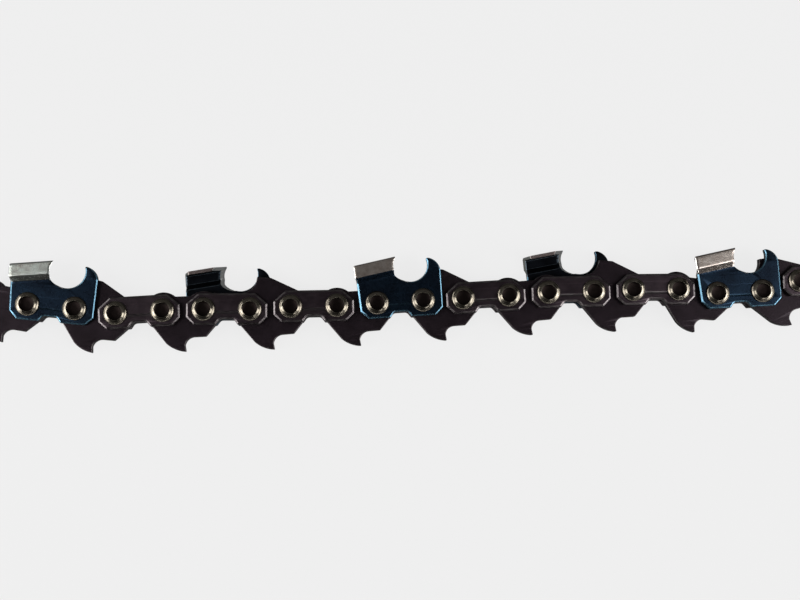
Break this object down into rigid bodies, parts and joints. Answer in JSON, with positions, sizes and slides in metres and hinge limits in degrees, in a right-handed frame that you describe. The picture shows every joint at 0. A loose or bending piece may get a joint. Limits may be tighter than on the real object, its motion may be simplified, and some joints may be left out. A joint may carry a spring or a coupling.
{
  "type": "saw chain length",
  "caption": "Open length of riveted saw chain with drive links, bumper links, tie straps and cutters, every hinge free to turn.",
  "frame": {"origin": "middle of the free eye of the first drive link, half way through its thickness", "axes": "+X the way the chain runs, +Y towards the cutting teeth, +Z along the rivets, up from the surface it lies on"},
  "size_m": [0.1978, 0.0232, 0.0062],
  "materials": {
    "drive_link": "black oxide",
    "side_strap": "black oxide",
    "cutter": "blued, with hard chrome on the tooth"
  },
  "bodies": {
    "drive_01": {"drive_link_01": "drive_link"},
    "strap_01": {"preset_strap_01": "side_strap", "right_cutter_01": "cutter"},
    "drive_02": {"bumper_link_02": "drive_link"},
    "strap_02": {"preset_strap_02": "side_strap", "tie_strap_02": "side_strap"},
    "drive_03": {"drive_link_03": "drive_link"},
    "strap_03": {"preset_strap_03": "side_strap", "left_cutter_03": "cutter"},
    "drive_04": {"bumper_link_04": "drive_link"},
    "strap_04": {"preset_strap_04": "side_strap", "tie_strap_04": "side_strap"},
    "drive_05": {"drive_link_05": "drive_link"},
    "strap_05": {"preset_strap_05": "side_strap", "right_cutter_05": "cutter"},
    "drive_06": {"bumper_link_06": "drive_link"},
    "strap_06": {"preset_strap_06": "side_strap", "tie_strap_06": "side_strap"},
    "drive_07": {"drive_link_07": "drive_link"},
    "strap_07": {"preset_strap_07": "side_strap", "left_cutter_07": "cutter"},
    "drive_08": {"bumper_link_08": "drive_link"},
    "strap_08": {"preset_strap_08": "side_strap", "tie_strap_08": "side_strap"},
    "drive_09": {"drive_link_09": "drive_link"},
    "strap_09": {"preset_strap_09": "side_strap", "right_cutter_09": "cutter"},
    "drive_10": {"bumper_link_10": "drive_link"},
    "strap_10": {"preset_strap_10": "side_strap", "tie_strap_10": "side_strap"}
  },
  "joints": [
    {"name": "rear_hinge_01", "type": "hinge", "parent": "strap_01", "child": "drive_01", "pos_m": [0.00869, -0.00166, 0], "axis": [0, 0, 1], "range_deg": [-9.7, 45.3]},
    {"name": "front_hinge_01", "type": "hinge", "parent": "drive_02", "child": "strap_01", "pos_m": [0.01885, -0.00264, 0], "axis": [0, 0, -1], "range_deg": [-38.9, 16.1]},
    {"name": "rear_hinge_02", "type": "hinge", "parent": "strap_02", "child": "drive_02", "pos_m": [0.02764, -0.00365, 0], "axis": [0, 0, 1], "range_deg": [-4.9, 50.1]},
    {"name": "front_hinge_02", "type": "hinge", "parent": "drive_03", "child": "strap_02", "pos_m": [0.03782, -0.00303, 0], "axis": [0, 0, -1], "range_deg": [-38.3, 16.7]},
    {"name": "rear_hinge_03", "type": "hinge", "parent": "strap_03", "child": "drive_03", "pos_m": [0.04666, -0.00275, 0], "axis": [0, 0, 1], "range_deg": [-16.8, 38.2]},
    {"name": "front_hinge_03", "type": "hinge", "parent": "drive_04", "child": "strap_03", "pos_m": [0.05686, -0.00275, 0], "axis": [0, 0, -1], "range_deg": [-43.8, 11.2]},
    {"name": "rear_hinge_04", "type": "hinge", "parent": "strap_04", "child": "drive_04", "pos_m": [0.06569, -0.00217, 0], "axis": [0, 0, 1], "range_deg": [-17.7, 37.3]},
    {"name": "front_hinge_04", "type": "hinge", "parent": "drive_05", "child": "strap_04", "pos_m": [0.07589, -0.00197, 0], "axis": [0, 0, -1], "range_deg": [-42.5, 12.5]},
    {"name": "rear_hinge_05", "type": "hinge", "parent": "strap_05", "child": "drive_05", "pos_m": [0.08473, -0.00141, 0], "axis": [0, 0, 1], "range_deg": [-15, 40]},
    {"name": "front_hinge_05", "type": "hinge", "parent": "strap_05", "child": "drive_06", "pos_m": [0.09491, -0.00077, 0], "axis": [0, 0, 1], "range_deg": [-39.5, 15.5]},
    {"name": "rear_hinge_06", "type": "hinge", "parent": "drive_06", "child": "strap_06", "pos_m": [0.10374, -0.0003, 0], "axis": [0, 0, -1], "range_deg": [-14.7, 40.3]},
    {"name": "front_hinge_06", "type": "hinge", "parent": "strap_06", "child": "drive_07", "pos_m": [0.11392, 0.00031, 0], "axis": [0, 0, 1], "range_deg": [-40.8, 14.2]},
    {"name": "rear_hinge_07", "type": "hinge", "parent": "drive_07", "child": "strap_07", "pos_m": [0.12275, 0.00096, 0], "axis": [0, 0, -1], "range_deg": [-17.8, 37.2]},
    {"name": "front_hinge_07", "type": "hinge", "parent": "strap_07", "child": "drive_08", "pos_m": [0.13295, 0.00121, 0], "axis": [0, 0, 1], "range_deg": [-41, 14]},
    {"name": "rear_hinge_08", "type": "hinge", "parent": "drive_08", "child": "strap_08", "pos_m": [0.14179, 0.00158, 0], "axis": [0, 0, -1], "range_deg": [-16.7, 38.3]},
    {"name": "front_hinge_08", "type": "hinge", "parent": "strap_08", "child": "drive_09", "pos_m": [0.15199, 0.0017, 0], "axis": [0, 0, 1], "range_deg": [-33.1, 21.9]},
    {"name": "rear_hinge_09", "type": "hinge", "parent": "drive_09", "child": "strap_09", "pos_m": [0.16079, 0.00075, 0], "axis": [0, 0, -1], "range_deg": [-5.8, 49.2]},
    {"name": "front_hinge_09", "type": "hinge", "parent": "strap_09", "child": "drive_10", "pos_m": [0.17097, 0.00128, 0], "axis": [0, 0, 1], "range_deg": [-52, 3]},
    {"name": "rear_hinge_10", "type": "hinge", "parent": "drive_10", "child": "strap_10", "pos_m": [0.17952, 0.00357, 0], "axis": [0, 0, -1], "range_deg": [-30, 25]}
  ]
}
